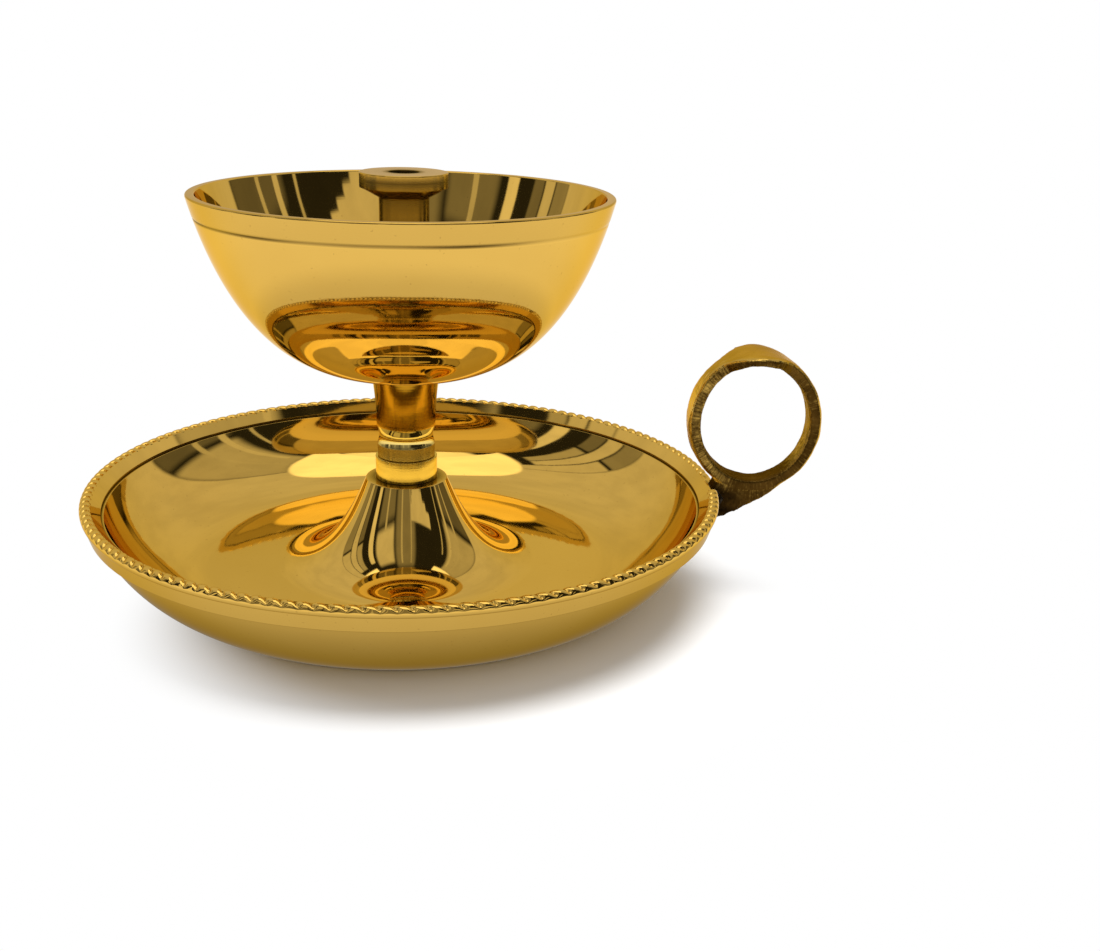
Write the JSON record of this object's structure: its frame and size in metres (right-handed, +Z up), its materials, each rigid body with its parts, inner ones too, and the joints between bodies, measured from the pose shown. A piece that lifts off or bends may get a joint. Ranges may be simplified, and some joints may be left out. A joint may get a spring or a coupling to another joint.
{
  "type": "butter lamp",
  "caption": "Brass butter lamp: half-round bowl with a flanged wick tube on a turned stem, over a wide rope-rimmed saucer with a finger ring and thumb pad, for carrying a small flame.",
  "frame": {"origin": "middle of the saucer's flat foot, on the lamp's turning axis", "axes": "+Z up along the turning axis, +X from the axis towards the finger ring"},
  "size_m": [0.115, 0.0992, 0.0633],
  "materials": {
    "polished_brass": "polished",
    "turned_brass": "as turned, fine lines",
    "cast_brass": "cast and filed, darkened",
    "braze": "burnt braze",
    "steel": "plain"
  },
  "bodies": {
    "base": {"saucer": "polished_brass", "handle": "cast_brass", "handle_braze": "braze", "collar": "turned_brass", "stem": "polished_brass", "base_washer": "steel", "base_nut": "steel"},
    "bowl": {"bowl": "polished_brass"},
    "wick_holder": {"wick_holder": "turned_brass"}
  },
  "joints": [
    {"name": "bowl_lift", "type": "slide", "parent": "base", "child": "bowl", "axis": [0, 0, 1], "range_m": [0, 0.015]},
    {"name": "wick_lift", "type": "slide", "parent": "bowl", "child": "wick_holder", "axis": [0, 0, 1], "range_m": [0, 0.03]}
  ]
}
